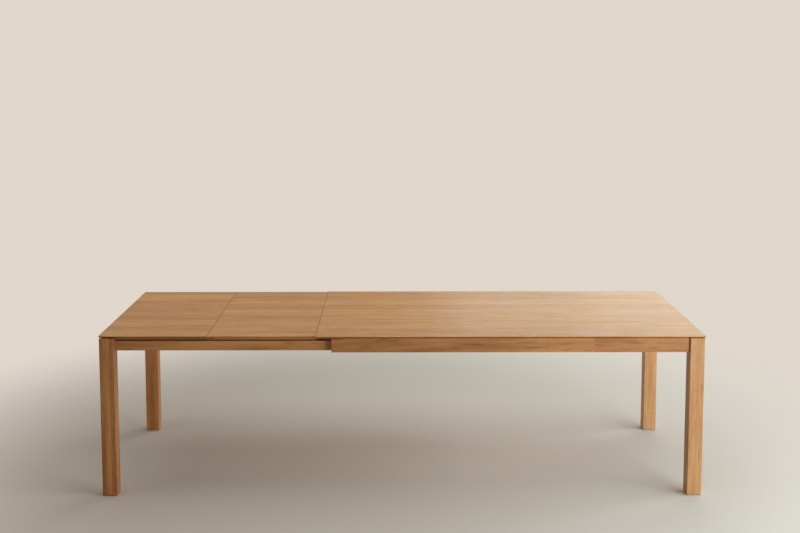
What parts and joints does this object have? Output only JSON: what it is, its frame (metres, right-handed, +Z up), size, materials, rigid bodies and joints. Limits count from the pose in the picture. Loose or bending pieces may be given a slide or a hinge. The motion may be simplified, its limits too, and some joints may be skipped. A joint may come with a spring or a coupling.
{
  "type": "extending dining table",
  "caption": "Oak dining table whose left leg frame slides out on rails for loose leaves carried on pull-out bearers.",
  "frame": {"origin": "on the floor under the middle of the fully extended table", "axes": "+X along the table towards the fixed end, +Y across the table towards the back, +Z up"},
  "size_m": [2.8, 1, 0.76],
  "materials": {
    "oak_top": "oiled oak, staves running along the table",
    "oak_frame": "oiled solid oak",
    "inner_wood": "planed hardwood, unfinished",
    "dowel_wood": "beech dowel",
    "zinc_steel": "zinc plated",
    "grey_steel": "satin grey",
    "black_plastic": "moulded nylon",
    "rubber_pad": "matt rubber",
    "grey_felt": "pressed felt"
  },
  "bodies": {
    "main_frame": {"back_apron": "oak_frame", "back_beam": "inner_wood", "back_channel": "zinc_steel", "back_runner": "zinc_steel", "back_stop_block": "inner_wood", "front_apron": "oak_frame", "front_beam": "inner_wood", "front_channel": "zinc_steel", "front_runner": "zinc_steel", "front_stop_block": "inner_wood", "left_cross_rail": "inner_wood", "main_frame_dowels": "dowel_wood", "main_frame_screws": "zinc_steel", "main_top": "oak_top", "middle_cross_rail": "inner_wood", "right_apron": "oak_frame", "right_back_bracket": "zinc_steel", "right_back_leg": "oak_frame", "right_bolts": "zinc_steel", "right_cross_rail": "inner_wood", "right_feet": "black_plastic", "right_front_bracket": "zinc_steel", "right_front_leg": "oak_frame", "runner_pads": "black_plastic", "top_screws": "zinc_steel"},
    "outer_leaf": {"outer_leaf_felt": "grey_felt", "outer_leaf_left_batten": "inner_wood", "outer_leaf_panel": "oak_top", "outer_leaf_right_batten": "inner_wood", "outer_leaf_screws": "zinc_steel"},
    "inner_leaf": {"inner_leaf_felt": "grey_felt", "inner_leaf_left_batten": "inner_wood", "inner_leaf_panel": "oak_top", "inner_leaf_right_batten": "inner_wood", "inner_leaf_screws": "zinc_steel", "leaf_pins": "black_plastic"},
    "front_bearer": {"front_bearer": "grey_steel", "front_bearer_caps": "black_plastic", "front_bearer_stop": "zinc_steel"},
    "back_bearer": {"back_bearer": "grey_steel", "back_bearer_caps": "black_plastic", "back_bearer_stop": "zinc_steel"},
    "end_frame": {"left_front_leg": "oak_frame", "left_back_leg": "oak_frame", "left_feet": "black_plastic", "leaf_discs": "black_plastic", "front_rail": "oak_frame", "back_rail": "oak_frame", "front_rail_glide": "black_plastic", "back_rail_glide": "black_plastic", "leaf_pads": "rubber_pad", "left_end_rail": "oak_frame", "rail_tie": "inner_wood", "left_front_bracket": "zinc_steel", "left_back_bracket": "zinc_steel", "left_bolts": "zinc_steel", "end_frame_screws": "zinc_steel", "end_frame_dowels": "dowel_wood"}
  },
  "joints": [
    {"name": "end_frame_slide", "type": "slide", "parent": "main_frame", "child": "end_frame", "axis": [1, 0, 0], "range_m": [0, 1]},
    {"name": "front_bearer_slide", "type": "slide", "parent": "main_frame", "child": "front_bearer", "axis": [1, 0, 0], "range_m": [0, 0.75]},
    {"name": "back_bearer_slide", "type": "slide", "parent": "main_frame", "child": "back_bearer", "axis": [1, 0, 0], "range_m": [0, 0.75]},
    {"name": "inner_leaf_lift", "type": "slide", "parent": "main_frame", "child": "inner_leaf", "axis": [0, 0, 1], "range_m": [0, 0.3]},
    {"name": "outer_leaf_lift", "type": "slide", "parent": "main_frame", "child": "outer_leaf", "axis": [0, 0, 1], "range_m": [0, 0.3]}
  ]
}
